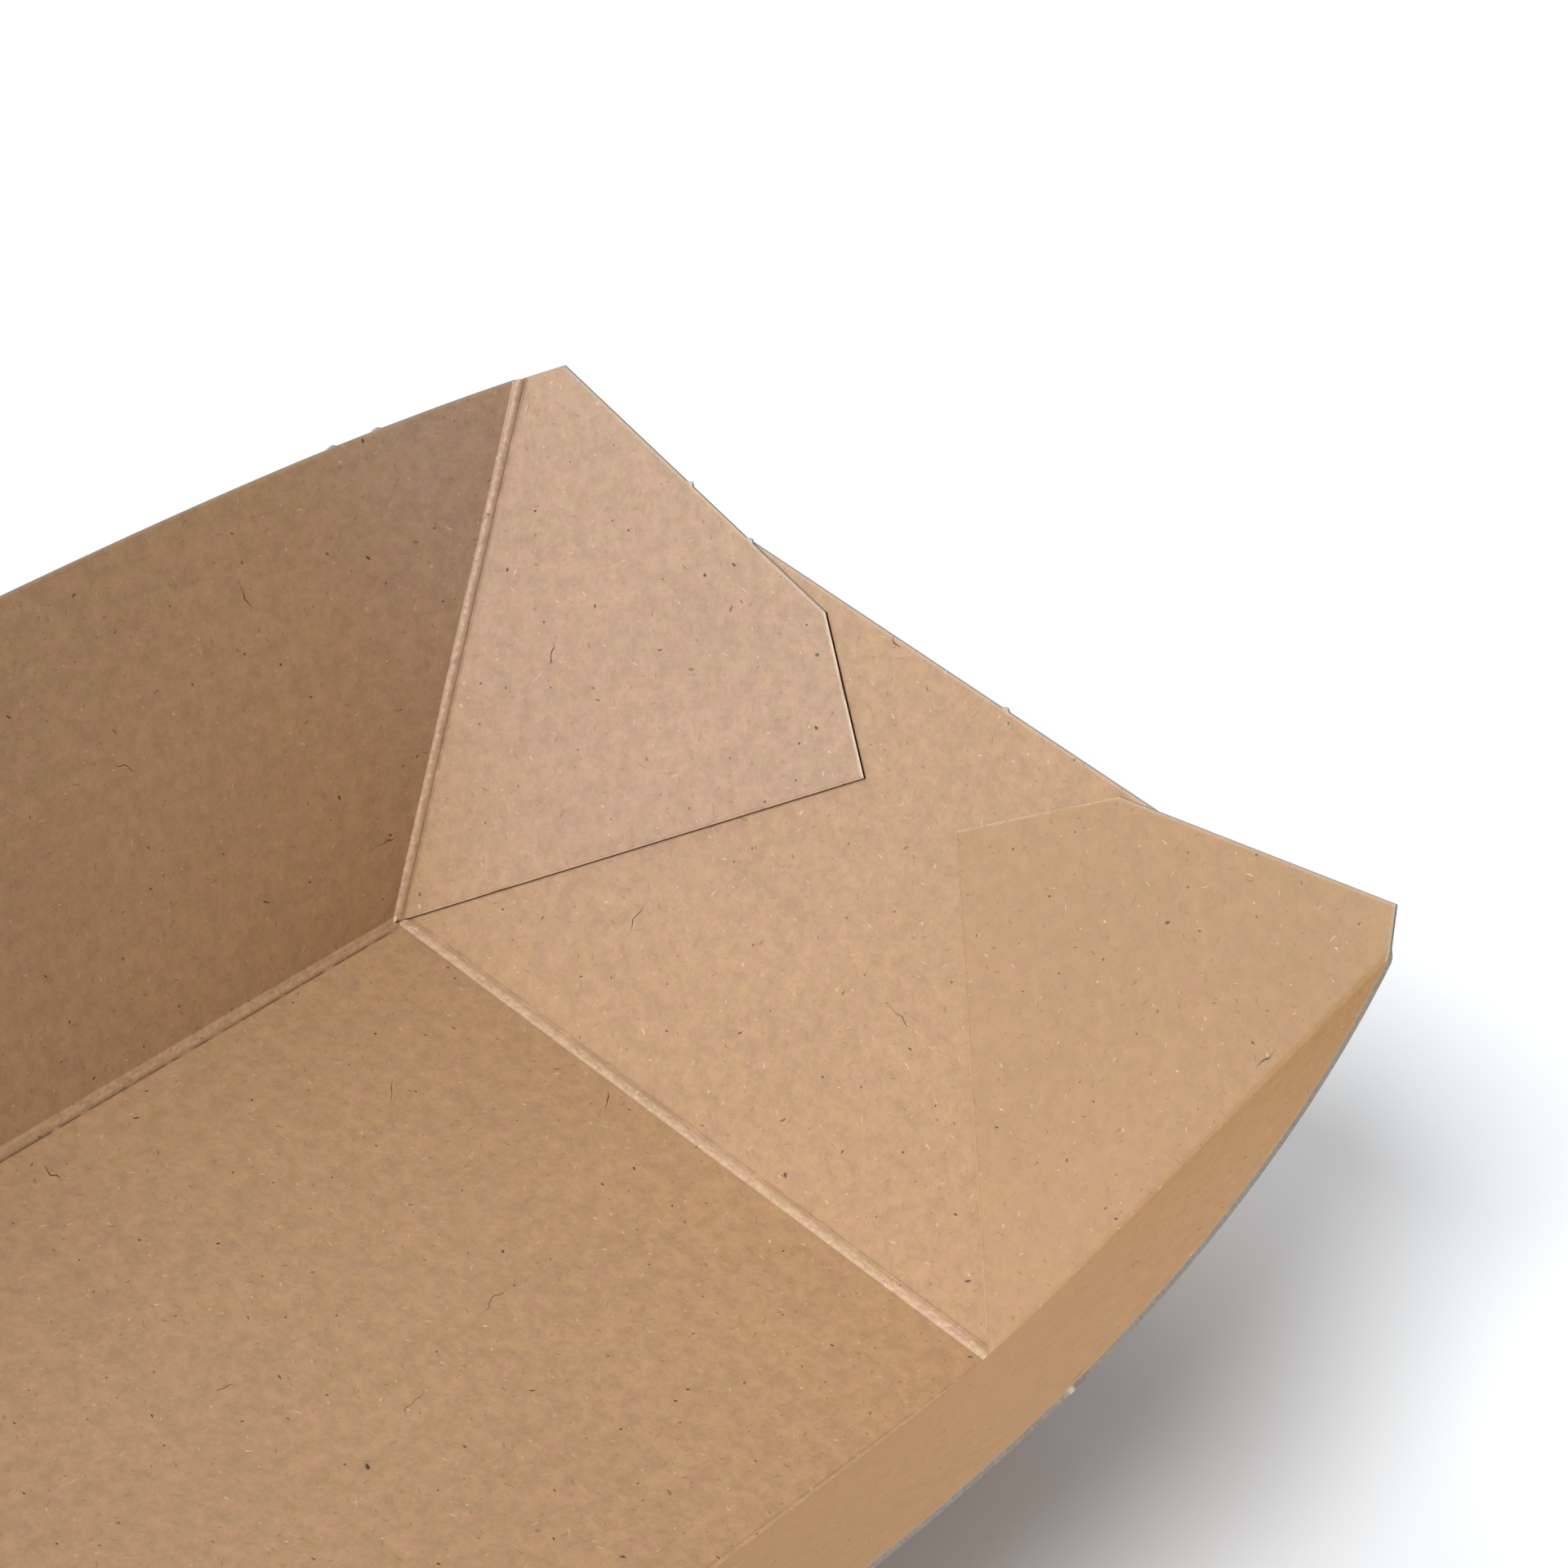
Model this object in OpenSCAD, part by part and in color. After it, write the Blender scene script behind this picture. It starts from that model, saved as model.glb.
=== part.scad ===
// Paperboard food tray, open at the top, folded from one sheet. The origin is under the middle of
// the base, X runs along the tray and Y across it. A folded corner flap leaves each end of each
// long wall and is glued on the inside of the end wall.

/* [Base] */
// Length of the base between its two end folds
base_l = 116; // [90:1:150]
// Width of the base between its two long folds
base_w = 70; // [56:1:90]

/* [Board] */
// Thickness of the paperboard
board = 0.42; // [0.38:0.01:0.6]
// Radius of the rounded bead that a crease raises on the inside
bead_r = 0.36; // [0.25:0.01:0.38]

/* [Long walls] */
// Lean of a long wall at its corner creases, outwards from upright
corner_lean = 17.5; // [8:0.5:26]
// Lean of a long wall at the middle of its length, where it bows out most
middle_lean = 34.5; // [20:0.5:42]
// Height of a long wall's panel at its corner creases, from fold to rim
corner_panel_h = 44.4; // [34:0.1:54]
// Height of a long wall's panel at the middle of its length
middle_panel_h = 42.7; // [32:0.1:54]
// How far the bow keeps its full depth towards the corners
bow_power = 2.2; // [1.6:0.1:4]

/* [End walls] */
// Lean of an end wall, outwards from upright
end_lean = 28; // [16:0.5:36]
// Height of an end wall's panel, from fold to rim
end_panel_h = 47; // [36:0.1:56]
// Angle at which an end wall's sides spread. The flaps are cut from the board beside it.
end_side_angle = 2.5; // [0:0.1:8]

/* [Far flaps] */
// Length of the foot edge of a flap on the +Y side
far_foot_l = 49.7; // [36:0.1:54]
// Angle of that foot edge above the end fold
far_foot_angle = 45.7; // [38:0.1:60]
// Length of its ear, which carries the rim's cut on past the crease
far_ear_l = 4.7; // [2:0.1:7]
// Angle of the ear above the end fold
far_ear_angle = 43.4; // [25:0.1:70]
// Length of its top edge
far_top_l = 34.6; // [20:0.1:38]
// Angle at which the top edge falls away from the ear
far_top_angle = 9.1; // [4:0.1:14]

/* [Near flaps] */
// Length of the foot edge of a flap on the -Y side
near_foot_l = 44.3; // [36:0.1:50]
// Angle of that foot edge above the end fold
near_foot_angle = 55; // [44:0.1:60]
// Length of its ear
near_ear_l = 4.2; // [2:0.1:7]
// Angle of the ear above the end fold
near_ear_angle = 67.1; // [30:0.1:75]
// Length of its top edge
near_top_l = 26; // [18:0.1:34]
// Angle at which the top edge falls away from the ear
near_top_angle = 11.6; // [4:0.1:14]

/* [Hidden] */

// How deep a flap beds into the glued face of the end wall
glue_bed = 0.05;
// Height of a base fold's axis above the inner face of the base
fold_rise = 0.1;
// Columns along a long wall and rows up it
wall_columns = 40;
wall_rows = 3;
// Smoothness of the beads
$fn = 32;

// A flap lies one board inside the end wall, so its crease starts that much inside the end fold
flap_shift = board / cos(end_lean);
crease_foot = [base_l / 2 - flap_shift, base_w / 2, board];
crease_rise = corner_panel_h * cos(corner_lean);
crease_out = corner_panel_h * sin(corner_lean);
crease_top = crease_foot + [crease_rise * tan(end_lean), crease_out, crease_rise];

// Outline of a flap, as the length and angle of its foot, its ear and its top edge
far_flap = [far_foot_l, far_foot_angle, far_ear_l, far_ear_angle, far_top_l, far_top_angle];
near_flap = [near_foot_l, near_foot_angle, near_ear_l, near_ear_angle, near_top_l, near_top_angle];

kraft = [0.78, 0.63, 0.47];
kraft_shade = [0.68, 0.52, 0.37];

// k runs from -1 at one corner crease through 0 at the middle of the wall to 1 at the other
function bow(k) = 1 - pow(abs(k), bow_power);
function lean_at(k) = corner_lean + (middle_lean - corner_lean) * bow(k);
function height_at(k) = corner_panel_h + (middle_panel_h - corner_panel_h) * bow(k);
function fold_point(k) = [k * crease_foot.x, base_w / 2, board];
function rim_point(k) = [
    k * crease_top.x,
    base_w / 2 + height_at(k) * sin(lean_at(k)),
    board + height_at(k) * cos(lean_at(k))
];

// u runs from 0 at the fold to 1 at the rim
function inner_point(k, u) = (1 - u) * fold_point(k) + u * rim_point(k);
function unit(v) = v / norm(v);
function outward(k, u) = unit(cross(
    inner_point(k + 0.01, u) - inner_point(k - 0.01, u),
    fold_point(k) - rim_point(k)));
function outer_point(k, u) = inner_point(k, u) + board * outward(k, u);

// Places an outline, drawn with x across the tray and y up the panel, on the end wall's inner face
module on_end_wall()
    translate([base_l / 2, 0, board])
        rotate([0, end_lean, 0])
            rotate([90, 0, 90])
                children();

// Bead of one crease between two points of its inner edge
module crease_bead(start, finish) {
    run = finish - start;
    color(kraft_shade)
        translate(start)
            rotate([0, acos(run.z / norm(run)), atan2(run.y, run.x)])
                cylinder(r = bead_r, h = norm(run));
}

module base_panel()
    color(kraft_shade)
        translate([-base_l / 2, -base_w / 2, 0])
            cube([base_l, base_w, board]);

// The long wall on the +Y side, a bowed sheet between its two corner creases
module long_wall() {
    stations = [for (i = [0 : wall_columns]) for (j = [0 : wall_rows])
        [2 * i / wall_columns - 1, j / wall_rows]];
    count = len(stations);
    step = wall_rows + 1;
    last = wall_columns * step;
    inside = [for (i = [0 : wall_columns - 1]) for (j = [0 : wall_rows - 1])
        for (face = [[0, 1, step], [1, step + 1, step]])
            [for (corner = face) corner + i * step + j]];
    outside = [for (face = inside) [for (m = [2, 1, 0]) face[m] + count]];
    fold_side = [for (i = [0 : wall_columns - 1])
        [i * step, (i + 1) * step, (i + 1) * step + count, i * step + count]];
    rim_side = [for (i = [0 : wall_columns - 1])
        [(i + 1) * step + wall_rows, i * step + wall_rows,
         i * step + wall_rows + count, (i + 1) * step + wall_rows + count]];
    first_side = [for (j = [0 : wall_rows - 1]) [j + 1, j, j + count, j + 1 + count]];
    last_side = [for (j = [0 : wall_rows - 1])
        [last + j, last + j + 1, last + j + 1 + count, last + j + count]];
    color(kraft)
        polyhedron(
            points = concat(
                [for (s = stations) inner_point(s[0], s[1])],
                [for (s = stations) outer_point(s[0], s[1])]),
            faces = concat(inside, outside, fold_side, rim_side, first_side, last_side));
}

// The end wall on the +X side, which stands outside the flaps
module end_wall() {
    top_half = base_w / 2 + end_panel_h * tan(end_side_angle);
    color(kraft)
        on_end_wall()
            linear_extrude(board)
                polygon([[-base_w / 2, 0], [base_w / 2, 0],
                         [top_half, end_panel_h], [-top_half, end_panel_h]]);
}

// The flap at the corner on the +X and +Y side, glued to the inner face of the end wall
module corner_flap(shape) {
    crease_at = [crease_foot.y, 0];
    crease_end = [crease_top.y, crease_rise / cos(end_lean)];
    foot_tip = crease_at + shape[0] * [-cos(shape[1]), sin(shape[1])];
    ear_tip = crease_end + shape[2] * [-cos(shape[3]), sin(shape[3])];
    top_tip = ear_tip - shape[4] * [cos(shape[5]), sin(shape[5])];
    color(kraft)
        on_end_wall()
            translate([0, -flap_shift * sin(end_lean), -board])
                linear_extrude(board + glue_bed)
                    polygon([crease_at, crease_end, ear_tip, top_tip, foot_tip]);
}

// One corner's flap with the crease that joins it to its long wall
module corner(shape) {
    corner_flap(shape);
    crease_bead(crease_foot, crease_top);
}

module tray() {
    fold_z = board + fold_rise;
    base_panel();
    for (end = [0, 1]) mirror([end, 0, 0]) {
        end_wall();
        corner(far_flap);
        mirror([0, 1, 0]) corner(near_flap);
        crease_bead([base_l / 2, -base_w / 2, fold_z], [base_l / 2, base_w / 2, fold_z]);
    }
    for (side = [0, 1]) mirror([0, side, 0]) {
        long_wall();
        crease_bead([-base_l / 2, base_w / 2, fold_z], [base_l / 2, base_w / 2, fold_z]);
    }
}

tray();
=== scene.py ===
"""Looks of the open food tray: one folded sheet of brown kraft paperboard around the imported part.

The sheet is built flat, panel by panel, and folded up with the same formulas as the part's source,
so every length here is in millimetres until a mesh is finished.
"""

from collections import namedtuple
from math import ceil, cos, exp, pi, radians, sin, sqrt, tan

import bmesh
import bpy
from mathutils import Matrix, Vector


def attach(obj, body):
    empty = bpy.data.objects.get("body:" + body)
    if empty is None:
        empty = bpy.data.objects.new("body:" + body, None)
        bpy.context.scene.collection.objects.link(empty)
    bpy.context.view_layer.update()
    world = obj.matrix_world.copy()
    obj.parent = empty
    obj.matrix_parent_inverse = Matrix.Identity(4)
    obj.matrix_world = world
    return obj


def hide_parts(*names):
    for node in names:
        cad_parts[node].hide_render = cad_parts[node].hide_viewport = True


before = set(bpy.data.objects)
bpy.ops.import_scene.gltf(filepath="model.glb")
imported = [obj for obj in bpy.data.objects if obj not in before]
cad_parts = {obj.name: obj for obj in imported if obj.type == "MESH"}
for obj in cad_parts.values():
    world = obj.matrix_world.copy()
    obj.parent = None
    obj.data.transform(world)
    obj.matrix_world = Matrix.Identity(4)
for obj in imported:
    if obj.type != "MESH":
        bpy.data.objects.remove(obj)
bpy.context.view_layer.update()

MM = 0.001

# Base and board
BASE_L = 116
BASE_W = 70
BOARD = 0.42

# Long walls, which bow outwards between their two corner creases
CORNER_LEAN = 17.5
MIDDLE_LEAN = 34.5
CORNER_H = 44.4
MIDDLE_H = 42.7
BOW_POWER = 2.2

# End walls
END_LEAN = 28
END_H = 47
END_SIDE_ANGLE = 2.5

# Flaps: length and angle of the foot, the ear and the top edge
FAR_FLAP = (49.7, 45.7, 4.7, 43.4, 34.6, 9.1)
NEAR_FLAP = (44.3, 55, 4.2, 67.1, 26, 11.6)

# Inside a pressed fold the board bulges into a roll: its radius, and the share of it by which the
# crown is pressed down. The folds of the long wall on the -Y side were pressed nearly flat. In the
# names below, far is the +Y side and near the -Y side, as the photograph shows them.
Roll = namedtuple("Roll", "radius press")
ROLL_R = 0.56
FLAT_ROLL_R = 0.3
END_FOLD = Roll(ROLL_R, 0.35)
FAR_FOLD = Roll(ROLL_R, 0.45)
FAR_CREASE = Roll(ROLL_R, 0.12)
NEAR_FOLD = NEAR_CREASE = Roll(FLAT_ROLL_R, 0.4)
# The press varies along a fold by this much, which leaves the roll lumpy, in two waves given in
# radians to the millimetre
LUMP = 0.05
LUMP_WAVES = (2.9, 1.3)
# Groove at the foot of a roll
GROOVE_W = 0.1
GROOVE_H = 0.05
# The share of that depth, and of the painted shade along the groove, on the base along its three
# kinds of fold, and on each panel beyond one
BASE_FAR_GROOVE = 1
BASE_NEAR_GROOVE = 0.3
BASE_END_GROOVE = 0.1
END_WALL_GROOVE = 0.45
LONG_WALL_GROOVE = 0
FAR_FLAP_GROOVE = 0.5
NEAR_FLAP_GROOVE = 0.1
# The board turns from one panel to the next over this much on each side of a fold
TURN_W = 0.4

# A glued flap keeps this gap to the end wall
GLUE_GAP = 0.02
# Fibres along a cut edge are worn over this width, and crushed down by this share of the board.
# They are grey along a rim, and pale and fraying inside the tray, at a flap's tip and foot, where
# the pale line is partly painted highlight along the lit edge.
FRAY_W = 0.2
CRUSH = 0.2
FLAP_EDGES = ("rim", "rim", "frayed_and_painted_light", "frayed_and_painted_light")
# Grid lines beside a cut edge, in those widths, which bound the wear
WEAR_LINES = (1.4, 1, 0)
# How much of the wear each side has, which also scales the painted highlight and shade at flap tips
# and feet
FAR_WEAR = 1
NEAR_WEAR = 0.8
# Nubs where the cutting die left the sheet joined to its neighbour
NUB_W = 0.36
NUB_H = 0.24
# Where they are: as shares of a long wall's half length, in mm from the middle of an end wall, and
# as shares of a flap's top edge
FAR_WALL_NUBS = (0.7765, 0.8305, -0.42)
NEAR_WALL_NUBS = (0.3605, -0.64)
END_WALL_NUBS = (-7.75,)
FAR_FLAP_NUBS = (0.488, 0.716)
NEAR_FLAP_NUBS = ()

# Grid lines beside a fold, and the widest spacing elsewhere
FINE = (0, 0.1, 0.2, FLAT_ROLL_R, 0.38, 0.47, ROLL_R, 0.63, 0.7, 0.84, 1.05, 1.4, 2)
STEP = 1.6
# Lines on the base between an end fold and the feet of the flaps' creases
END_FINE = (0, 0.12, 0.24, 0.36)
# Vertices nearer than this are the same one, or lie on the same line, or make an edge of no length
TOUCH = 0.03
ON_LINE = TOUCH / 3
NO_LENGTH = TOUCH / 10

FLAP_SHIFT = BOARD / cos(radians(END_LEAN))
END_UP = Vector((sin(radians(END_LEAN)), 0, cos(radians(END_LEAN))))
END_INWARD = Vector((-cos(radians(END_LEAN)), 0, sin(radians(END_LEAN))))
FOOT = Vector((BASE_L / 2 - FLAP_SHIFT, BASE_W / 2, BOARD))
RISE = CORNER_H * cos(radians(CORNER_LEAN))
TOP = FOOT + Vector((RISE * tan(radians(END_LEAN)), CORNER_H * sin(radians(CORNER_LEAN)), RISE))
CREASE_L = (TOP - FOOT).length
CREASE = (TOP - FOOT).normalized()


def bow(k):
    return 1 - abs(k) ** BOW_POWER


def wall_h(k):
    return CORNER_H + (MIDDLE_H - CORNER_H) * bow(k)


def wall_point(k, u):
    """Inner face of the +Y long wall: k runs from crease to crease, u from the fold to the rim."""
    lean = radians(CORNER_LEAN + (MIDDLE_LEAN - CORNER_LEAN) * bow(k))
    foot = Vector((k * FOOT.x, FOOT.y, BOARD))
    rim = Vector((k * TOP.x, BASE_W / 2 + wall_h(k) * sin(lean), BOARD + wall_h(k) * cos(lean)))
    return foot.lerp(rim, u)


def wall_inward(k, u):
    nudge = 0.01
    along = wall_point(k + nudge, u) - wall_point(k - nudge, u)
    return along.cross(wall_point(k, 1) - wall_point(k, 0)).normalized()


def smooth(x):
    x = min(max(x, 0), 1)
    return x * x * (3 - 2 * x)


# A fold beside a point: how far it is, how far on its end is, the normal of the panel beyond it,
# its roll and how deep the groove on this side is
Fold = namedtuple("Fold", "gap run other roll depth")


def roll_end(fold):
    """A roll is round at its ends too."""
    return sqrt(1 - (1 - min(max(fold.run / fold.roll.radius, 0), 1)) ** 2)


def groove(fold):
    beyond = (fold.gap - fold.roll.radius) / GROOVE_W
    return fold.depth * roll_end(fold) * exp(-((beyond - 1) ** 2))


def bulge(fold):
    """Height of the roll, from 1 on its crown to 0 at its foot. A flat one doesn't count."""
    crown = sqrt(max(1 - (fold.gap / fold.roll.radius) ** 2, 0))
    return crown * roll_end(fold) * (fold.roll.radius == ROLL_R)


def rolled(fold, inward):
    """How far the roll inside a fold, round between its two panels, carries the inner face."""
    radius = fold.roll.radius
    short_wave, long_wave = (sin(wave * fold.run) for wave in LUMP_WAVES)
    press = fold.roll.press + LUMP * short_wave * long_wave
    if fold.gap >= radius:
        return -inward * GROOVE_H * groove(fold)
    away = (fold.other - inward * fold.other.dot(inward)).normalized()
    turn = (pi - inward.angle(fold.other)) / 2 * (1 - fold.gap / radius)
    reach = radius * (1 - press * (1 - (fold.gap / radius) ** 2))
    shift = (away * cos(turn) + inward * sin(turn)) * reach - away * fold.gap
    return shift * roll_end(fold)


def skins(point, inward, folds):
    """Both skins of the board, turned and rolled by the folds beside a point, and the marks."""
    turned = inward.copy()
    shift = Vector()
    for fold in folds:
        turned += fold.other * (1 - smooth(fold.gap / TURN_W))
        shift += rolled(fold, inward)
    turned.normalize()
    marks = {"roll": max(map(bulge, folds)), "groove": max(map(groove, folds))}
    return point + shift, point - turned * BOARD, marks


def lines(stations):
    """The stations in order, with more lines where they are further apart than the step."""
    stations = sorted(stations)
    places = [stations[0]]
    for end in stations[1:]:
        start = places[-1]
        if end - start > TOUCH:
            parts = ceil((end - start) / STEP)
            places += [start + (end - start) * i / parts for i in range(1, parts + 1)]
    return places


def both_ways(places):
    return [sign * place for place in places for sign in (-1, 1)]


def nub_lines(places):
    return [place + share * NUB_W for place in places for share in (-1, -0.5, 0, 0.5, 1)]


# What was done to the sheet at a vertex, from 0 to 1. The groove mark, and the mark at a flap's
# fraying tip and foot, also carry painted shade and highlight into the colour.
MARKS = ("roll", "groove", "rim", "frayed_and_painted_light", "torn")


def flat_grid(across, up):
    """A flat panel with a vertex at each crossing of the two sets of lines."""
    bm = bmesh.new()
    for mark in MARKS:
        bm.verts.layers.float.new(mark)
    columns, rows = len(across) - 1, len(up) - 1
    bmesh.ops.create_grid(bm, x_segments=columns, y_segments=rows, size=0.5)
    for v in bm.verts:
        v.co.x = across[round((v.co.x + 0.5) * columns)]
        v.co.y = up[round((v.co.y + 0.5) * rows)]
    return bm


def mark_beyond(bm, start, out, mark):
    """Marks the vertices that lie on the line at right angles to out, or past it."""
    layer = bm.verts.layers.float[mark]
    for v in bm.verts:
        if (v.co.xy - start).dot(out) > -ON_LINE:
            v[layer] = 1


def cut_along(bm, start, end, mark):
    """Cuts the panel along a line and drops what lies to its right. More lines bound the wear."""
    out = Vector((end.y - start.y, start.x - end.x)).normalized()
    for widths in WEAR_LINES:
        bmesh.ops.bisect_plane(
            bm,
            geom=bm.verts[:] + bm.edges[:] + bm.faces[:],
            dist=ON_LINE,
            plane_co=(start - out * widths * FRAY_W).to_3d(),
            plane_no=out.to_3d(),
            clear_outer=widths == 0,
        )
    mark_beyond(bm, start, out, mark)


def raise_nub(bm, place, out):
    """Draws a nub of torn board out of a cut edge."""
    torn = bm.verts.layers.float["torn"]
    out = out.normalized()
    for v in bm.verts:
        away = (v.co - place.to_3d()).length
        if v.is_boundary and away < NUB_W:
            v[torn] = 1 - (away / NUB_W) ** 2
            v.co += out.to_3d() * NUB_H * v[torn]


def fold_up(sheet, bm, place_of, mirror_x=1, mirror_y=1, wear=1, **shape):
    """Adds a flat panel to the sheet. place_of gives its place in the blank, skins and marks."""
    outer_layer = bm.verts.layers.float_vector.new("outer")
    blank_layer = bm.verts.layers.float_vector.new("blank")
    frayed_and_painted_light = bm.verts.layers.float["frayed_and_painted_light"]
    side = Vector((mirror_x, mirror_y, 1))
    for v in bm.verts:
        blank, inner, outer, marks = place_of(v.co.x, v.co.y, **shape)
        v[frayed_and_painted_light] *= wear
        marked = max(v[bm.verts.layers.float["rim"]] * wear, v[frayed_and_painted_light])
        v.co = inner.lerp(outer, CRUSH * marked) * side
        v[outer_layer] = outer * side
        v[blank_layer] = Vector((blank[0] * mirror_x, blank[1] * mirror_y, 0))
        for mark, level in marks.items():
            v[bm.verts.layers.float[mark]] = level
    if mirror_x * mirror_y < 0:
        bmesh.ops.reverse_faces(bm, faces=bm.faces)
    panel = bpy.data.meshes.new("panel")
    bm.to_mesh(panel)
    bm.free()
    sheet.from_mesh(panel)
    bpy.data.meshes.remove(panel)


def base_place(x, y):
    k = x / FOOT.x
    side = Vector((1, 1 if y > 0 else -1, 1))
    toward_end = Vector((1 if x > 0 else -1, 1, 1))
    beside = BASE_W / 2 - abs(y)
    wall_normal = wall_inward(min(max(k, -1), 1), 0) * side
    roll, depth = (FAR_FOLD, BASE_FAR_GROOVE) if y > 0 else (NEAR_FOLD, BASE_NEAR_GROOVE)
    folds = [
        Fold(beside, FOOT.x - abs(x), wall_normal, roll, depth),
        Fold(BASE_L / 2 - abs(x), beside, END_INWARD * toward_end, END_FOLD, BASE_END_GROOVE),
    ]
    return (x, y), *skins(Vector((x, y, BOARD)), Vector((0, 0, 1)), folds)


def long_wall_place(x, y, fold_roll, crease_roll):
    k, u = x / FOOT.x, y / CORNER_H
    point = wall_point(k, u)
    end = Vector((1 if x > 0 else -1, 1, 1))
    from_foot = point - FOOT * end
    beside = from_foot.cross(CREASE * end).length
    up = Vector((0, 0, 1))
    folds = [
        Fold(u * wall_h(k), FOOT.x - abs(x), up, fold_roll, LONG_WALL_GROOVE),
        Fold(beside, u * CREASE_L, END_INWARD * end, crease_roll, LONG_WALL_GROOVE),
    ]
    blank = (k * (FOOT.x + (TOP.x - FOOT.x) * u), BASE_W / 2 + u * wall_h(k))
    return blank, *skins(point, wall_inward(k, u), folds)


def end_wall_place(x, y):
    spread = 1 + y * tan(radians(END_SIDE_ANGLE)) / (BASE_W / 2)
    point = Vector((BASE_L / 2, x * spread, BOARD)) + END_UP * y
    fold = Fold(y, BASE_W / 2 - abs(x), Vector((0, 0, 1)), END_FOLD, END_WALL_GROOVE)
    return (BASE_L / 2 + y, x * spread), *skins(point, END_INWARD, [fold])


# Directions on the flap's plane, with x across the tray and y up the panel: along the crease,
# and away from it towards the middle of the end wall
FLAP_ALONG = Vector((TOP.y - FOOT.y, RISE / cos(radians(END_LEAN)))).normalized()
FLAP_ACROSS = Vector((-FLAP_ALONG.y, FLAP_ALONG.x))
# The same two directions in the flat blank, where the flap carries on from the long wall
BLANK_ALONG = Vector((TOP.x - FOOT.x, CORNER_H)).normalized()
BLANK_ACROSS = Vector((BLANK_ALONG.y, -BLANK_ALONG.x))


def flap_place(along, across, roll):
    on_panel = FLAP_ALONG * along + FLAP_ACROSS * across
    point = FOOT + Vector((0, on_panel.x, 0)) + END_UP * on_panel.y
    depth = FAR_FLAP_GROOVE if roll == FAR_CREASE else NEAR_FLAP_GROOVE
    fold = Fold(across, along, wall_inward(1, along / CREASE_L), roll, depth)
    lift = END_INWARD * GLUE_GAP * smooth(across)
    inner, outer, marks = skins(point, END_INWARD, [fold])
    blank = Vector((FOOT.x, FOOT.y)) + BLANK_ALONG * along + BLANK_ACROSS * across
    return blank, inner + lift, outer + lift, marks


def flap_corners(shape):
    """Corners of a flap, along its crease and across, from the crease's top round to its foot."""
    foot_l, foot_angle, ear_l, ear_angle, top_l, top_angle = shape

    def turned(length, angle):
        step = Vector((-cos(radians(angle)), sin(radians(angle)))) * length
        return Vector((step.dot(FLAP_ALONG), step.dot(FLAP_ACROSS)))

    crease_top = Vector((CREASE_L, 0))
    ear_tip = crease_top + turned(ear_l, ear_angle)
    top_tip = ear_tip + turned(top_l, -top_angle)
    return crease_top, ear_tip, top_tip, turned(foot_l, foot_angle), Vector((0, 0))


def flat_flap(shape, wall_rows, nubs):
    """A flap cut to its outline. Nubs are shares of the way along its top edge."""
    corners = flap_corners(shape)
    crease_top, ear_tip, top_tip = corners[:3]
    nub_places = [ear_tip.lerp(top_tip, share) for share in nubs]
    # Up to the crease's top the rows meet the wall's, one to one
    rows = [y / CORNER_H * CREASE_L for y in wall_rows]
    top, reach = (max(corner[axis] for corner in corners) + FRAY_W for axis in (0, 1))
    bm = flat_grid(
        rows + lines([rows[-1], top])[1:],
        lines(list(FINE) + [reach] + nub_lines([place.y for place in nub_places])),
    )
    for start, end, mark in zip(corners, corners[1:], FLAP_EDGES):
        cut_along(bm, start, end, mark)
    edge = top_tip - ear_tip
    for place in nub_places:
        raise_nub(bm, place, Vector((edge.y, -edge.x)))
    return bm


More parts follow.
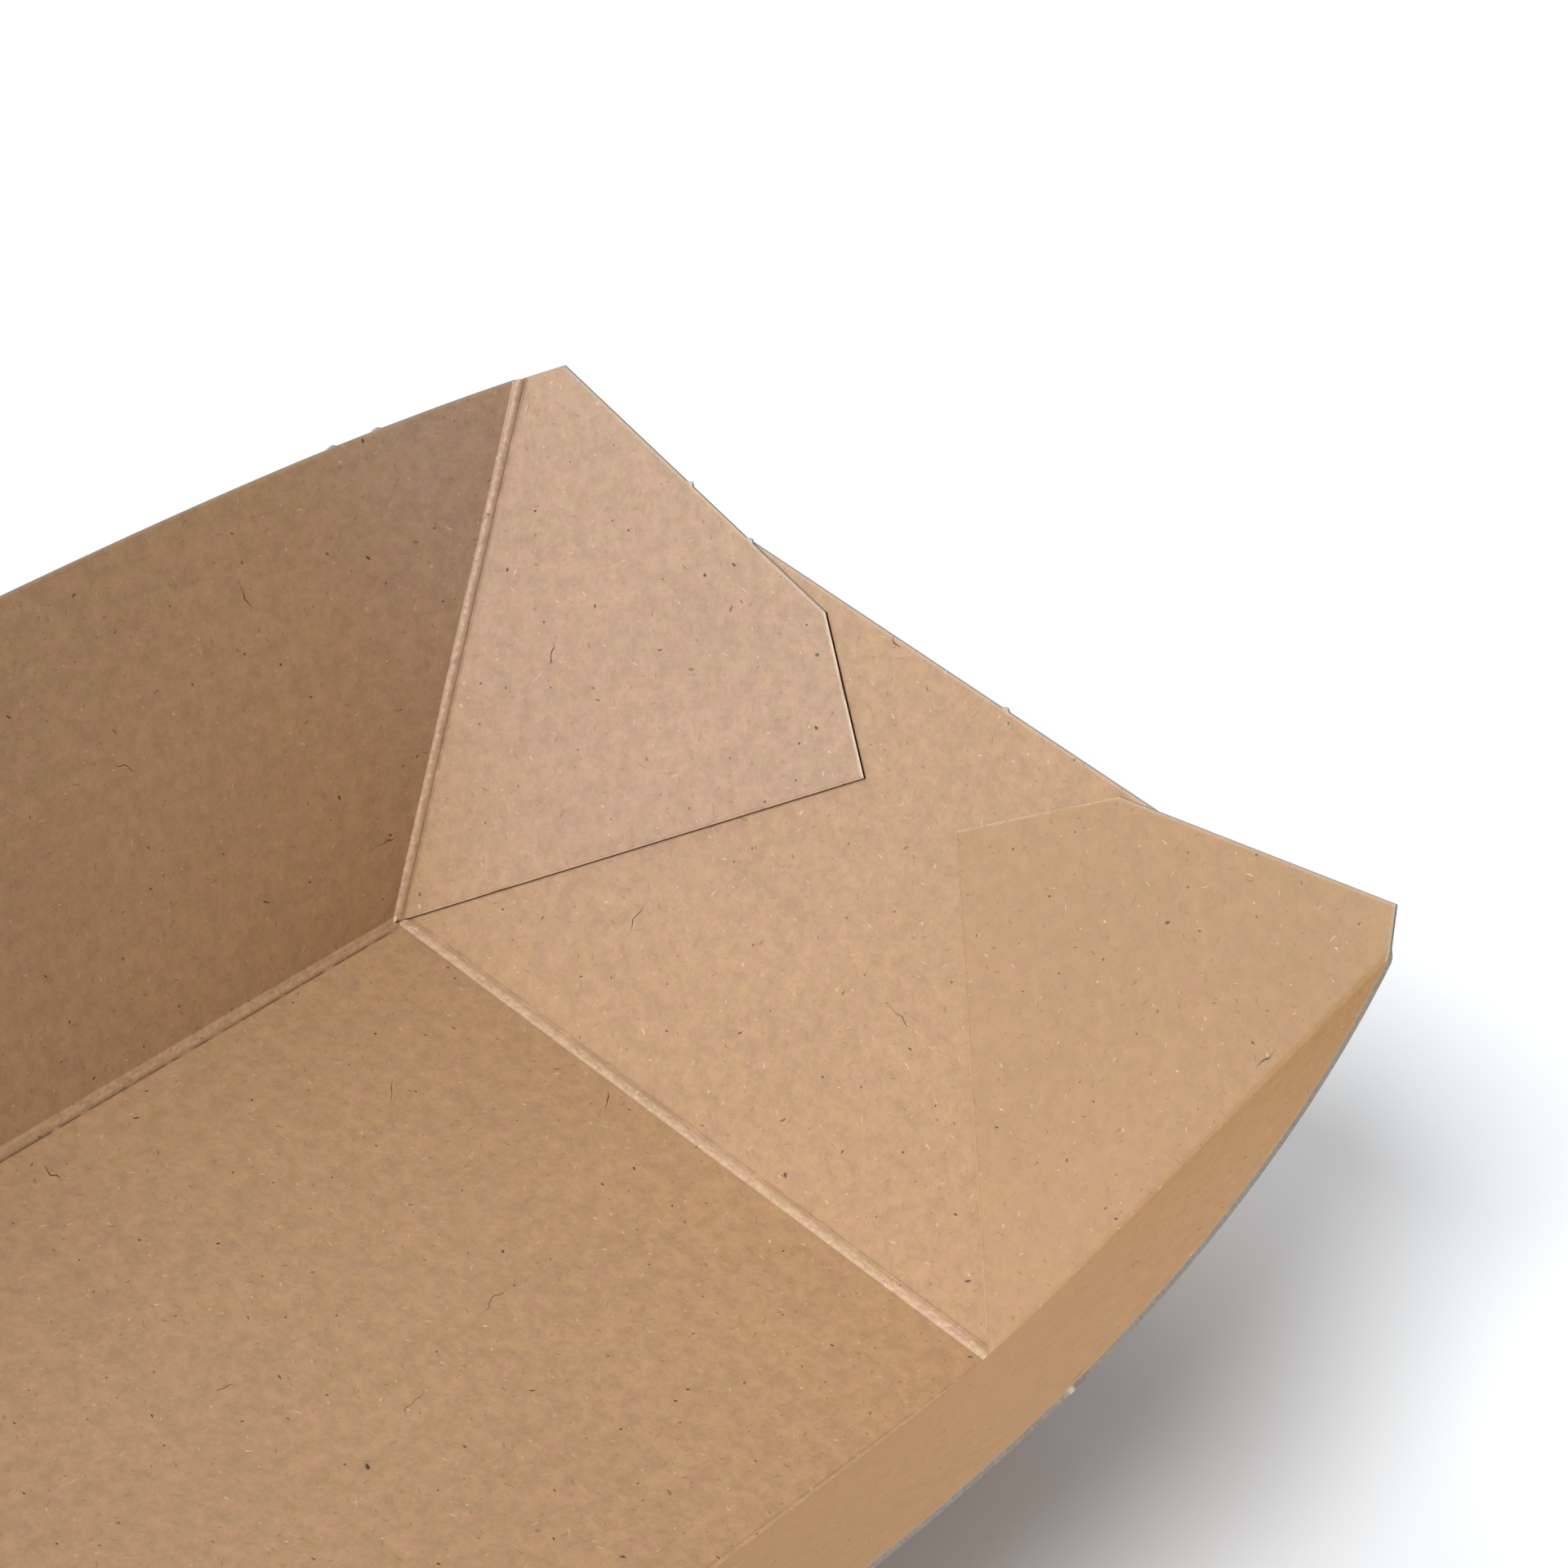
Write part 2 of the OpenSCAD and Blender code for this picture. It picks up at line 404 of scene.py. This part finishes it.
def folded_sheet():
    """The whole tray as one sheet, as thin as paper."""
    sheet = bmesh.new()
    sheet.verts.layers.float_vector.new("outer")
    sheet.verts.layers.float_vector.new("blank")
    for mark in MARKS:
        sheet.verts.layers.float.new(mark)

    crease_lines = [FOOT.x - gap for gap in FINE]
    wall_nubs = [k * FOOT.x for k in FAR_WALL_NUBS + NEAR_WALL_NUBS]
    wall_columns = lines(both_ways(crease_lines) + nub_lines(wall_nubs))
    base_columns = sorted(wall_columns + both_ways(BASE_L / 2 - gap for gap in END_FINE))
    base_rows = lines(both_ways([BASE_W / 2 - gap for gap in FINE]) + nub_lines(END_WALL_NUBS))
    wall_rows, end_rows = (
        lines(list(FINE) + [height - widths * FRAY_W for widths in WEAR_LINES])
        for height in (CORNER_H, END_H)
    )

    fold_up(sheet, flat_grid(base_columns, base_rows), base_place)
    out = Vector((0, 1))
    for mirror_y, fold_roll, crease_roll, nubs, flap, flap_nubs, wear in (
        (1, FAR_FOLD, FAR_CREASE, FAR_WALL_NUBS, FAR_FLAP, FAR_FLAP_NUBS, FAR_WEAR),
        (-1, NEAR_FOLD, NEAR_CREASE, NEAR_WALL_NUBS, NEAR_FLAP, NEAR_FLAP_NUBS, NEAR_WEAR),
    ):
        wall = flat_grid(wall_columns, wall_rows)
        mark_beyond(wall, Vector((0, CORNER_H)), out, "rim")
        for k in nubs:
            raise_nub(wall, Vector((k * FOOT.x, CORNER_H)), out)
        rolls = {"fold_roll": fold_roll, "crease_roll": crease_roll}
        fold_up(sheet, wall, long_wall_place, 1, mirror_y, wear, **rolls)
        for mirror_x in (1, -1):
            flat = flat_flap(flap, wall_rows, flap_nubs)
            fold_up(sheet, flat, flap_place, mirror_x, mirror_y, wear, roll=crease_roll)
    for mirror_x in (1, -1):
        wall = flat_grid(base_rows, end_rows)
        mark_beyond(wall, Vector((0, END_H)), out, "rim")
        for x in END_WALL_NUBS:
            raise_nub(wall, Vector((x, END_H)), out)
        fold_up(sheet, wall, end_wall_place, mirror_x)

    bmesh.ops.remove_doubles(sheet, verts=sheet.verts, dist=TOUCH)
    bmesh.ops.dissolve_degenerate(sheet, edges=sheet.edges, dist=NO_LENGTH)
    # The sheet's faces are turned the same way, up into the tray, as the middle of the base shows
    bmesh.ops.recalc_face_normals(sheet, faces=sheet.faces)
    middle = min(sheet.faces, key=lambda face: face.calc_center_median().xy.length)
    if middle.normal.z < 0:
        bmesh.ops.reverse_faces(sheet, faces=sheet.faces)
    return sheet


# The materials of the tray's mesh, in their order
INNER, OUTER, CUT = range(3)


def thick_board(sheet):
    """Gives the sheet its thickness, and marks its cut edges and its three kinds of face."""
    cut_layer = sheet.verts.layers.float.new("cut")
    for v in sheet.verts:
        v[cut_layer] = float(v.is_boundary)
    outer_layer = sheet.verts.layers.float_vector["outer"]
    inner_skin = set(sheet.verts)
    # The second skin is made in place and then moved to where it was worked out
    bmesh.ops.solidify(sheet, geom=sheet.faces[:], thickness=0)
    for v in sheet.verts:
        if v not in inner_skin:
            v.co = v[outer_layer]
    for face in sheet.faces:
        outer_corners = sum(v not in inner_skin for v in face.verts)
        if outer_corners == 0:
            face.material_index = INNER
        elif outer_corners == len(face.verts):
            face.material_index = OUTER
        else:
            face.material_index = CUT
        face.smooth = True


def linear(code):
    """A colour written as sRGB hex, as the linear values that a shader takes."""
    parts = [int(code[i : i + 2], 16) / 255 for i in (1, 3, 5)]
    return [p / 12.92 if p <= 0.04045 else ((p + 0.055) / 1.055) ** 2.4 for p in parts] + [1]


def add(tree, kind, inputs, **settings):
    """Adds a node with its settings. An input takes a value, or the output that feeds it."""
    node = tree.nodes.new(kind)
    for name, value in settings.items():
        setattr(node, name, value)
    for socket, value in inputs.items():
        if isinstance(value, bpy.types.NodeSocket):
            tree.links.new(value, node.inputs[socket])
        else:
            node.inputs[socket].default_value = value
    return node


# Inputs of a Mix node that mixes colours, and its output with the result
MIX_A, MIX_B, MIXED = 6, 7, 2

# Light on the open face of the paper, and on its cut edge
PAPER_ROUGHNESS = 0.45
PAPER_SPECULAR = 0.8
CUT_ROUGHNESS = 0.8
CUT_SPECULAR = 0.1
# Height of the nap of the paper in mm
NAP_H = 0.013

# The hue wanders between a greener and a redder brown in patches of this size in mm. They hold one
# or the other where the noise is under or over these levels.
KRAFT_GREENER = "#A3876A"
KRAFT_REDDER = "#A5856E"
HUE_PATCH = 1.9
HUE_LEVELS = (0.32, 0.68)
# Clouds in the tone of the pulp: their size in mm, the octaves below it, how rough they are and how
# far they go from the mean. They go as far as that at these levels of the noise.
TONES = ((14, 1, 0.5, 0.02), (1.8, 3, 0.9, 0.13))
TONE_LEVELS = (0.3, 0.7)

# Beyond the fold on the -Y side the board was rubbed smooth: where in the blank that starts and is
# full, in mm, and the share of its clouds that went
RUBBED_START = -35
RUBBED_FULL = -38
RUBBED_SHARE = 0.4

# Painted sheen on the ends of the sheet, where a low window's glossy light falls on the flaps. It
# starts and is full this far from the middle of the blank, in mm. It is plain at one line along the
# blank, and golden or pale this far to its sides.
SHEEN_START = 52
SHEEN_FULL = 82
SHEEN_LINE = -15
SHEEN_REACH = 55
# Golden on the -Y side, where little sheen falls, plain on the line, and pale on the +Y side, where
# most falls
SHEEN_TINTS = ("#F2E7C3", "#FEF6DF", "#FFFFFF")

# Fibres lie bent, so their places are read from a sheet that is warped by this much in mm, with
# this many bends to the millimetre
WARP = 0.8
BENDS_PER_MM = 0.9
# Fibres that show, as bands of: spacing, least and most half length, half width, all in mm, the
# share of places that hold one, colour, strength and height. Kraft fibres are some 0.03 mm wide,
# too fine to show, so they are drawn four or five times wider.
FIBRES = {
    "brown fibres": (1.7, 0.13, 0.45, 0.09, 0.6, "#6A4528", 0.65, 0.4),
    "bark specks": (5.2, 0.16, 0.24, 0.15, 0.7, "#332010", 1.2, 0.3),
    "pale fibres": (2.7, 0.12, 0.34, 0.085, 0.7, "#E8D2B4", 0.48, 0.9),
    "long dark hairs": (26, 1, 2.6, 0.08, 0.9, "#4A2F1A", 1.4, 0.4),
}
# The bands are read this far apart in mm, so that none repeats another
BAND_SHIFT = 37
# A fibre is full to this share of its half width, and fades from there to its edge
FIBRE_CORE = 0.3
# The longest of a band show only this much of its strength
LONGEST_SHOWS = 0.4

# What each mark does to the paper: size of its breaks in mm, where they start and end in the noise,
# colour, strength and height. The groove's dark brown is painted shade at the foot of a roll; the
# pale colour at a flap's fraying tip and foot is partly painted highlight on the lit edge.
WEAR_AND_PAINTED_LIGHT = {
    "roll": (0.9, 0.3, 0.7, "#CBA685", 0.15, 3),
    "groove": (1.7, 0.2, 0.5, "#4A2A14", 0.9, 0),
    "rim": (0.5, 0.2, 0.45, "#8A8175", 0.7, 0.4),
    "frayed_and_painted_light": (0.6, 0.2, 0.45, "#E6D2B8", 0.3, 0.6),
    "torn": (0.25, 0.3, 0.55, "#BDB2A6", 1, 1),
}

# Crumbs of pulp in the cut edge: how many to the millimetre, and their dark and light tones with
# their levels in the noise. Where the edge is torn it has a tone of its own. At a flap's fraying
# tip and foot the dark brown is painted shade, for the shadow in the gap under the edge.
CRUMBS_PER_MM = 2.8
CRUMB_TONES = ((0.3, "#857D72"), (0.7, "#9A9186"))
CUT_MARKS = {"frayed_and_painted_light": "#3A1B09", "torn": "#BDB2A6"}

FLOOR_WHITE = "#F8FBFE"
FLOOR_ROUGHNESS = 0.9
FLOOR_SPECULAR = 0.5


def new_material(name, roughness, specular):
    """A plain material with its tree and shader, to build on."""
    material = bpy.data.materials.new(name)
    material.use_nodes = True
    shader = material.node_tree.nodes["Principled BSDF"]
    shader.inputs["Roughness"].default_value = roughness
    shader.inputs["Specular IOR Level"].default_value = specular
    return material, material.node_tree, shader


def hued(tree, place):
    """The board's brown, with its patches of hue."""
    patches = add(
        tree,
        "ShaderNodeTexNoise",
        {"Vector": place, "Scale": 1 / HUE_PATCH},
        noise_dimensions="2D",
    )
    low, high = HUE_LEVELS
    redness = add(
        tree,
        "ShaderNodeMapRange",
        {"Value": patches.outputs[0], "From Min": low, "From Max": high},
    )
    return add(
        tree,
        "ShaderNodeMix",
        {"Factor": redness.outputs[0], MIX_A: linear(KRAFT_GREENER), MIX_B: linear(KRAFT_REDDER)},
        data_type="RGBA",
    ).outputs[MIXED]


def clouded(tree, place, colour):
    """The colour with the clouds over it, and the finest clouds as a height: they are nap too."""
    low, high = TONE_LEVELS
    for size, octaves, rough, swing in TONES:
        clouds = add(
            tree,
            "ShaderNodeTexNoise",
            {"Vector": place, "Scale": 1 / size, "Detail": octaves, "Roughness": rough},
            noise_dimensions="2D",
        ).outputs[0]
        tone = add(
            tree,
            "ShaderNodeMapRange",
            {
                "Value": clouds,
                "From Min": low,
                "From Max": high,
                "To Min": 1 - swing,
                "To Max": 1 + swing,
            },
        )
        colour = add(
            tree,
            "ShaderNodeVectorMath",
            {0: colour, "Scale": tone.outputs[0]},
            operation="SCALE",
        ).outputs[0]
    return colour, clouds


def rubbed(tree, y, cloudy, even):
    """Takes some of the clouds off the long wall on the -Y side."""
    share = add(
        tree,
        "ShaderNodeMapRange",
        {
            "Value": y,
            "From Min": RUBBED_START,
            "From Max": RUBBED_FULL,
            "To Max": RUBBED_SHARE,
        },
    )
    return add(
        tree,
        "ShaderNodeMix",
        {"Factor": share.outputs[0], MIX_A: cloudy, MIX_B: even},
        data_type="RGBA",
    ).outputs[MIXED]


def with_painted_sheen(tree, x, y, colour):
    """Paints sheen on the ends of the sheet: pale on the +Y side, golden on the -Y side."""
    out = add(tree, "ShaderNodeMath", {0: x}, operation="ABSOLUTE")
    at_end = add(
        tree,
        "ShaderNodeMapRange",
        {
            "Value": out.outputs[0],
            "From Min": SHEEN_START,
            "From Max": SHEEN_FULL,
            "To Max": 0.5 / SHEEN_REACH,
        },
        interpolation_type="SMOOTHSTEP",
    )
    across = add(tree, "ShaderNodeMath", {0: y, 1: -SHEEN_LINE}, operation="ADD")
    drift = add(
        tree,
        "ShaderNodeMath",
        {0: across.outputs[0], 1: at_end.outputs[0], 2: 0.5},
        operation="MULTIPLY_ADD",
    )
    tint = add(tree, "ShaderNodeValToRGB", {"Fac": drift.outputs[0]})
    golden, plain, pale = map(linear, SHEEN_TINTS)
    stops = tint.color_ramp.elements
    stops[0].color = golden
    stops[-1].color = pale
    stops.new(0.5).color = plain
    return add(
        tree,
        "ShaderNodeMix",
        {"Factor": 1, MIX_A: colour, MIX_B: tint.outputs[0]},
        data_type="RGBA",
        blend_type="MULTIPLY",
    ).outputs[MIXED]


def warped(tree, place):
    """The places on the sheet, bent a little and laid flat."""
    warp = add(
        tree,
        "ShaderNodeTexNoise",
        {"Vector": place, "Scale": BENDS_PER_MM, "Detail": 0},
        noise_dimensions="2D",
    )
    bend = add(
        tree,
        "ShaderNodeVectorMath",
        {0: warp.outputs["Color"], 1: (WARP, WARP, 0), 2: place},
        operation="MULTIPLY_ADD",
    )
    return add(
        tree,
        "ShaderNodeVectorMath",
        {0: bend.outputs[0], 1: (1, 1, 0)},
        operation="MULTIPLY",
    ).outputs[0]


def with_fibres(tree, place, colour, height):
    """Lays the fibres in the paper, as streaks of colour and height. Each lies at its own angle."""
    bent = warped(tree, place)
    for row, band in enumerate(FIBRES.values()):
        spacing, shortest, longest, width, share, code, strength, rise = band
        here = add(
            tree,
            "ShaderNodeMapping",
            {"Vector": bent, "Location": (BAND_SHIFT * row, 0, 0)},
        ).outputs[0]
        spot = add(
            tree,
            "ShaderNodeTexVoronoi",
            {"Vector": here, "Scale": 1 / spacing},
            voronoi_dimensions="2D",
        )
        chance = add(tree, "ShaderNodeSeparateColor", {0: spot.outputs["Color"]}).outputs
        from_middle = add(
            tree,
            "ShaderNodeVectorMath",
            {0: here, 1: spot.outputs["Position"]},
            operation="SUBTRACT",
        )
        angle = add(tree, "ShaderNodeMath", {0: chance[0], 1: 2 * pi}, operation="MULTIPLY")
        along = add(
            tree,
            "ShaderNodeVectorRotate",
            {"Vector": from_middle.outputs[0], "Angle": angle.outputs[0]},
            rotation_type="Z_AXIS",
        )
        length = add(
            tree,
            "ShaderNodeMapRange",
            {"Value": chance[1], "To Min": shortest, "To Max": longest},
        )
        half = add(tree, "ShaderNodeCombineXYZ", {"X": length.outputs[0], "Y": width, "Z": 1})
        inside = add(
            tree,
            "ShaderNodeVectorMath",
            {0: along.outputs[0], 1: half.outputs[0]},
            operation="DIVIDE",
        )
        reach = add(tree, "ShaderNodeVectorMath", {0: inside.outputs[0]}, operation="LENGTH")
        body = add(
            tree,
            "ShaderNodeMapRange",
            {"Value": reach.outputs["Value"], "From Min": 1, "From Max": FIBRE_CORE},
            interpolation_type="SMOOTHSTEP",
        )
        held = add(tree, "ShaderNodeMath", {0: chance[2], 1: share}, operation="LESS_THAN")
        fibre = add(
            tree,
            "ShaderNodeMath",
            {0: body.outputs[0], 1: held.outputs[0]},
            operation="MULTIPLY",
        ).outputs[0]
        shown = add(
            tree,
            "ShaderNodeMapRange",
            {"Value": chance[1], "To Min": strength, "To Max": strength * LONGEST_SHOWS},
        )
        depth = add(tree, "ShaderNodeMath", {0: fibre, 1: shown.outputs[0]}, operation="MULTIPLY")
        colour = add(
            tree,
            "ShaderNodeMix",
            {"Factor": depth.outputs[0], MIX_A: colour, MIX_B: linear(code)},
            data_type="RGBA",
        ).outputs[MIXED]
        height = add(
            tree,
            "ShaderNodeMath",
            {0: fibre, 1: rise, 2: height},
            operation="MULTIPLY_ADD",
        ).outputs[0]
    return colour, height


def with_wear_and_painted_light(tree, place, colour, height):
    """Wears the paper where the sheet carries a mark, with breaks along it, and paints shade and
    highlights.
    """
    for mark, (size, broken, whole, code, strength, rise) in WEAR_AND_PAINTED_LIGHT.items():
        level = add(tree, "ShaderNodeAttribute", {}, attribute_name=mark).outputs["Fac"]
        breaks = add(
            tree,
            "ShaderNodeTexNoise",
            {"Vector": place, "Scale": 1 / size, "Detail": 1},
            noise_dimensions="2D",
        )
        kept = add(
            tree,
            "ShaderNodeMapRange",
            {"Value": breaks.outputs[0], "From Min": broken, "From Max": whole},
        )
        marked = add(
            tree,
            "ShaderNodeMath",
            {0: level, 1: kept.outputs[0]},
            operation="MULTIPLY",
        ).outputs[0]
        depth = add(tree, "ShaderNodeMath", {0: marked, 1: strength}, operation="MULTIPLY")
        colour = add(
            tree,
            "ShaderNodeMix",
            {"Factor": depth.outputs[0], MIX_A: colour, MIX_B: linear(code)},
            data_type="RGBA",
        ).outputs[MIXED]
        height = add(
            tree,
            "ShaderNodeMath",
            {0: marked, 1: rise, 2: height},
            operation="MULTIPLY_ADD",
        ).outputs[0]
    return colour, height


def kraft_face(name, start):
    """Unbleached kraft board, uncoated: matt, warm brown, clouded and flecked, with a soft nap.

    start is where in the pulp's pattern the sheet begins, in mm, so that its two faces differ.
    """
    material, tree, shader = new_material(name, PAPER_ROUGHNESS, PAPER_SPECULAR)
    blank = add(tree, "ShaderNodeAttribute", {}, attribute_name="blank").outputs["Vector"]
    place = add(
        tree,
        "ShaderNodeMapping",
        {"Vector": blank, "Location": (start, start, 0)},
    ).outputs[0]
    x, y = add(tree, "ShaderNodeSeparateXYZ", {0: blank}).outputs[:2]
    even = hued(tree, place)
    colour, height = clouded(tree, place, even)
    colour = rubbed(tree, y, colour, even)
    colour = with_painted_sheen(tree, x, y, colour)
    colour, height = with_fibres(tree, place, colour, height)
    colour, height = with_wear_and_painted_light(tree, place, colour, height)
    nap = add(tree, "ShaderNodeBump", {"Distance": NAP_H * MM, "Height": height})
    tree.links.new(colour, shader.inputs["Base Color"])
    tree.links.new(nap.outputs[0], shader.inputs["Normal"])
    return material


def cut_kraft(name):
    """Die-cut edge: crushed, a little greyer, hairy where torn, painted shade at flap tips and
    feet.
    """
    material, tree, shader = new_material(name, CUT_ROUGHNESS, CUT_SPECULAR)
    place = add(tree, "ShaderNodeTexCoord", {}).outputs["Object"]
    crumbs = add(
        tree,
        "ShaderNodeTexNoise",
        {"Vector": place, "Scale": CRUMBS_PER_MM / MM, "Detail": 3},
    )
    pulp = add(tree, "ShaderNodeValToRGB", {"Fac": crumbs.outputs[0]})
    for stop, (level, code) in zip(pulp.color_ramp.elements, CRUMB_TONES):
        stop.position = level
        stop.color = linear(code)
    colour = pulp.outputs[0]
    for mark, code in CUT_MARKS.items():
        level = add(tree, "ShaderNodeAttribute", {}, attribute_name=mark).outputs["Fac"]
        colour = add(
            tree,
            "ShaderNodeMix",
            {"Factor": level, MIX_A: colour, MIX_B: linear(code)},
            data_type="RGBA",
        ).outputs[MIXED]
    nap = add(tree, "ShaderNodeBump", {"Distance": 2 * NAP_H * MM, "Height": crumbs.outputs[0]})
    tree.links.new(colour, shader.inputs["Base Color"])
    tree.links.new(nap.outputs[0], shader.inputs["Normal"])
    return material


def white_paper(name):
    """The floor: matt white paper, a little cool."""
    material, _, shader = new_material(name, FLOOR_ROUGHNESS, FLOOR_SPECULAR)
    shader.inputs["Base Color"].default_value = linear(FLOOR_WHITE)
    return material


def link(thing):
    bpy.context.scene.collection.objects.link(thing)
    return thing


# Edges that turn by more than this stay sharp in the shading: the board's cut edges
SHARP_ANGLE = 45
# Where in the pulp's pattern the two faces of the sheet begin, in mm
INNER_START = 0
OUTER_START = 400

sheet = folded_sheet()
thick_board(sheet)
bmesh.ops.scale(sheet, vec=(MM, MM, MM), verts=sheet.verts)
mesh = bpy.data.meshes.new("paperboard_tray")
sheet.to_mesh(mesh)
sheet.free()
mesh.set_sharp_from_angle(angle=radians(SHARP_ANGLE))
for material in (
    kraft_face("kraft board inner face", INNER_START),
    kraft_face("kraft board outer face", OUTER_START),
    cut_kraft("kraft board cut edge"),
):
    mesh.materials.append(material)
tray = link(bpy.data.objects.new("paperboard_tray", mesh))
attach(tray, "root")
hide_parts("tray")

# Camera at the photograph's place, in metres, looking down over the open side
CAMERA_AT = Vector((-0.19484, -0.17696, 0.29074))
CAMERA_RIGHT = Vector((0.65747, -0.73796, 0.15214))
CAMERA_UP = Vector((0.39783, 0.51147, 0.76166))
SENSOR = 36
LENS = 112.26
SEES_FROM = 0.01
SEES_TO = 20

camera = link(bpy.data.objects.new("camera", bpy.data.cameras.new("camera")))
turn = Matrix((CAMERA_RIGHT, CAMERA_UP, CAMERA_RIGHT.cross(CAMERA_UP))).transposed()
camera.matrix_world = Matrix.Translation(CAMERA_AT) @ turn.to_4x4()
camera.data.sensor_fit = "HORIZONTAL"
camera.data.sensor_width = SENSOR
camera.data.lens = LENS
camera.data.clip_start = SEES_FROM
camera.data.clip_end = SEES_TO
bpy.context.scene.camera = camera

# White floor, in metres, a hair below the tray so that the two never share a plane
FLOOR_HALF = 3
FLOOR_DROP = 0.0001

floor_mesh = bpy.data.meshes.new("floor")
bm = bmesh.new()
bmesh.ops.create_grid(bm, x_segments=1, y_segments=1, size=FLOOR_HALF)
bmesh.ops.translate(bm, vec=(0, 0, -FLOOR_DROP), verts=bm.verts)
bm.to_mesh(floor_mesh)
bm.free()
floor_mesh.materials.append(white_paper("white paper floor"))
floor = link(bpy.data.objects.new("floor", floor_mesh))

# Light from all round, which fills the shadows
ROOM_LIGHT = 0.35
# A tall window on the -X side, as its lower and upper half, and a weaker one behind the tray.
# A lamp is its strength, its width in degrees, and its bearing from +X and height in degrees.
LAMPS = {
    "low window": (1.01, 30, 165, 30),
    "high window": (2.37, 30, 180, 50),
    "back window": (1.0, 30, 90, 38),
}

world = bpy.data.worlds.new("studio")
bpy.context.scene.world = world
world.use_nodes = True
background = world.node_tree.nodes["Background"]
background.inputs["Color"].default_value = linear("#FFFFFF")
background.inputs["Strength"].default_value = ROOM_LIGHT

for name, (strength, width, bearing, height) in LAMPS.items():
    lamp = link(bpy.data.objects.new(name, bpy.data.lights.new(name, "SUN")))
    lamp.data.energy = strength
    lamp.data.angle = radians(width)
    lamp.rotation_euler = (radians(90 - height), 0, radians(bearing + 90))

bpy.context.scene.view_settings.view_transform = "Standard"
